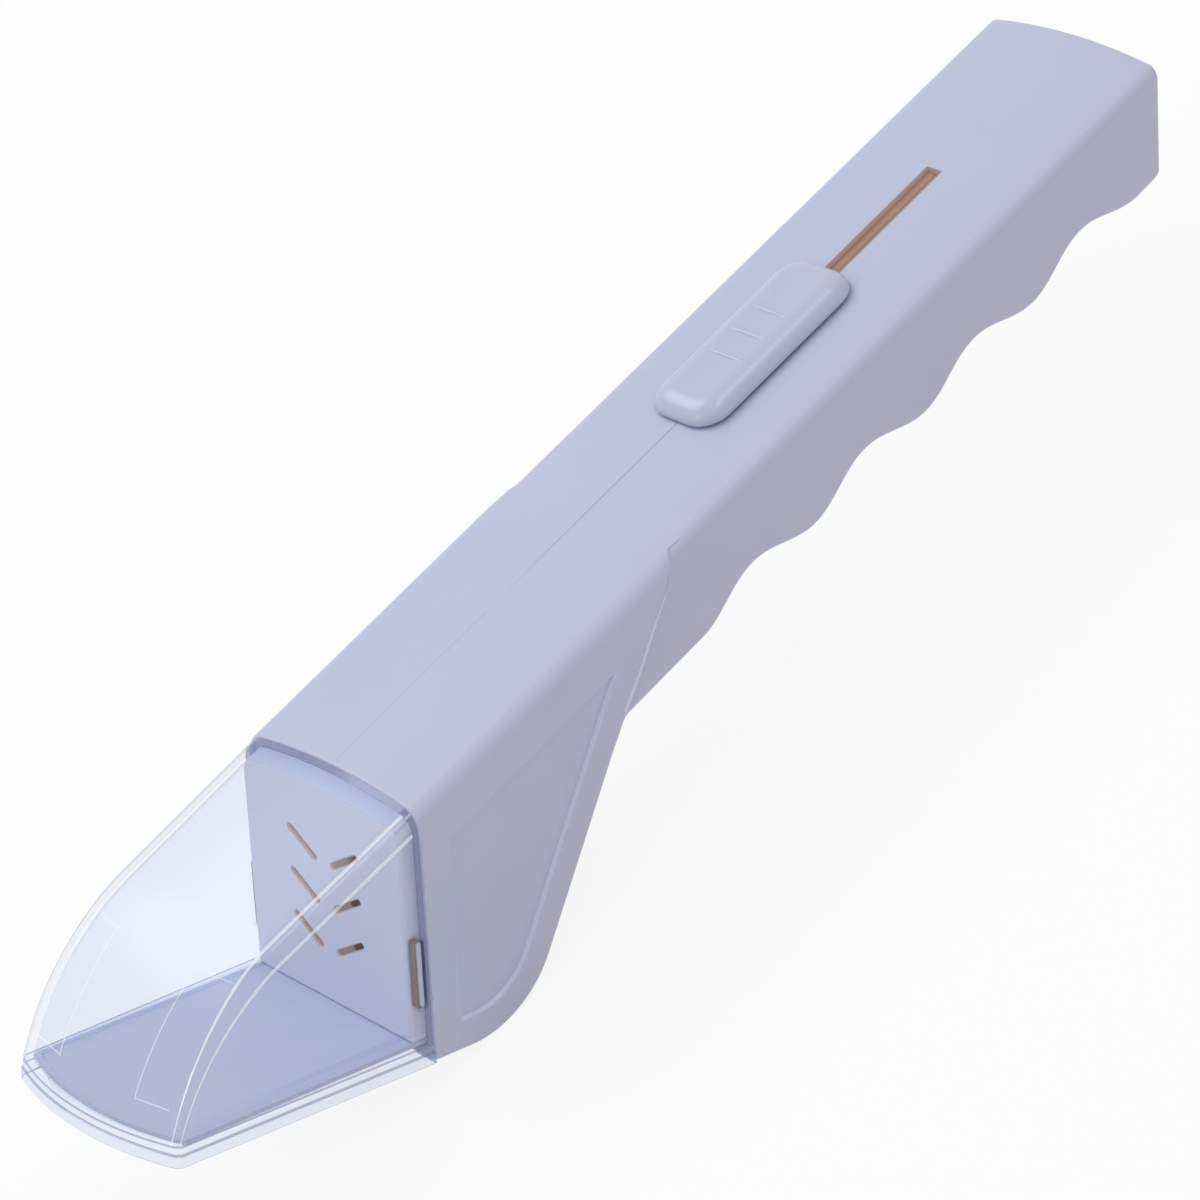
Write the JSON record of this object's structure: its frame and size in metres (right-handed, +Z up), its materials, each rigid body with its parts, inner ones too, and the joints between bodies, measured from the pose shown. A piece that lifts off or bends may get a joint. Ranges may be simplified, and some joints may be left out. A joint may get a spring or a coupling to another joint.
{
  "type": "handheld bug catcher",
  "caption": "Long grooved grip with a clear capture hood, closed from below by a sheet door that a thumb slide draws back into the head.",
  "frame": {"origin": "middle of the box round the part, at its lowest level", "axes": "+X towards the nose along the level grip, +Y to the user's left, +Z up out of the thumb slide"},
  "size_m": [0.2524, 0.0414, 0.0513],
  "materials": {
    "shell": "satin moulded plastic",
    "clear": "clear moulded plastic",
    "sheet": "smooth flexible sheet",
    "guide": "slick moulded plastic",
    "slide": "slick moulded plastic",
    "button": "satin gloss",
    "steel": "zinc plated",
    "brass": "plain"
  },
  "bodies": {
    "grip": {"left_shell": "shell", "right_shell": "shell", "clear_hood": "clear", "chamber_back_wall": "shell", "hood_catches": "guide", "ribbon_bend": "sheet", "heel_guide": "guide", "outer_guide": "guide", "slide_track": "guide", "track_screws": "steel", "shell_screws": "steel"},
    "thumb_slide": {"thumb_button": "button", "button_screw": "steel", "slider_carriage": "slide", "ribbon_clamp": "steel", "clamp_rivets": "brass", "detent_spring": "steel", "ribbon_tail": "sheet"},
    "door": {"trap_door": "sheet"}
  },
  "joints": [
    {"name": "thumb_travel", "type": "slide", "parent": "grip", "child": "thumb_slide", "axis": [-1, 0, 0], "range_m": [0, 0.052]},
    {"name": "door_travel", "type": "slide", "parent": "grip", "child": "door", "axis": [-0.891, 0, -0.454], "range_m": [0, 0.052], "deforming": ["trap_door"]}
  ],
  "couplings": [
    {"joint": "door_travel", "follows": "thumb_travel", "ratio": 1}
  ]
}
